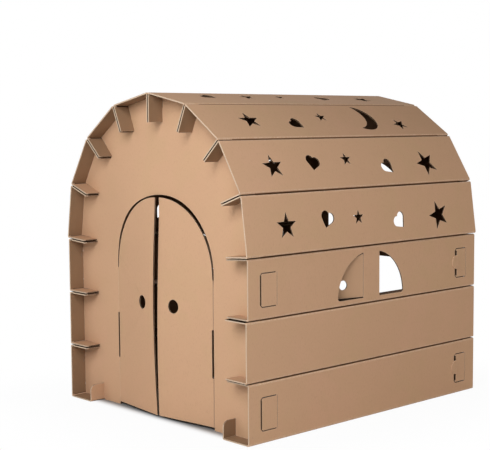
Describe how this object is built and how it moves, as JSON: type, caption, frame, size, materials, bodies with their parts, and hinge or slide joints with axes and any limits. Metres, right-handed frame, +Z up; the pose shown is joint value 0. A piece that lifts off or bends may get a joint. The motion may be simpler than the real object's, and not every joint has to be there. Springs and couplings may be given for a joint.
{
  "type": "cardboard playhouse",
  "caption": "Free-standing playhouse of slotted, folded corrugated board with a round plank roof, an arched double door and shuttered windows.",
  "frame": {"origin": "on the floor in the middle of the house", "axes": "-Y out of the door end, +Y along the planks to the back wall, +X to the right side seen from the door, +Z up"},
  "size_m": [1.0358, 1.242, 1.1853],
  "materials": {
    "kraft_board": "matt"
  },
  "bodies": {
    "house": {"right_plank_1": "kraft_board", "right_plank_2": "kraft_board", "right_plank_3": "kraft_board", "right_plank_4": "kraft_board", "right_plank_5": "kraft_board", "right_plank_6": "kraft_board", "right_plank_7": "kraft_board", "left_plank_1": "kraft_board", "left_plank_2": "kraft_board", "left_plank_3": "kraft_board", "left_plank_4": "kraft_board", "left_plank_5": "kraft_board", "left_plank_6": "kraft_board", "left_plank_7": "kraft_board", "front_wall": "kraft_board", "back_wall": "kraft_board"},
    "left_leaf": {"left_door": "kraft_board"},
    "right_leaf": {"right_door": "kraft_board"},
    "right_front_flap": {"right_front_shutter": "kraft_board"},
    "right_rear_flap": {"right_rear_shutter": "kraft_board"},
    "left_front_flap": {"left_front_shutter": "kraft_board"},
    "left_rear_flap": {"left_rear_shutter": "kraft_board"}
  },
  "joints": [
    {"name": "left_door_hinge", "type": "hinge", "parent": "house", "child": "left_leaf", "pos_m": [-0.276, -0.558, 0.42], "axis": [0, 0, -1], "range_deg": [-7, 103]},
    {"name": "right_door_hinge", "type": "hinge", "parent": "house", "child": "right_leaf", "pos_m": [0.276, -0.558, 0.42], "axis": [0, 0, 1], "range_deg": [-4, 106]},
    {"name": "right_front_shutter_hinge", "type": "hinge", "parent": "house", "child": "right_front_flap", "pos_m": [0.507, -0.044, 0.5], "axis": [0, 0, -1], "range_deg": [-12, 88]},
    {"name": "right_rear_shutter_hinge", "type": "hinge", "parent": "house", "child": "right_rear_flap", "pos_m": [0.507, 0.044, 0.5], "axis": [0, 0, 1], "range_deg": [-95, 5]},
    {"name": "left_rear_shutter_hinge", "type": "hinge", "parent": "house", "child": "left_rear_flap", "pos_m": [-0.507, 0.044, 0.5], "axis": [0, 0, -1], "range_deg": [-12, 88]},
    {"name": "left_front_shutter_hinge", "type": "hinge", "parent": "house", "child": "left_front_flap", "pos_m": [-0.507, -0.044, 0.5], "axis": [0, 0, 1], "range_deg": [-95, 5]}
  ]
}
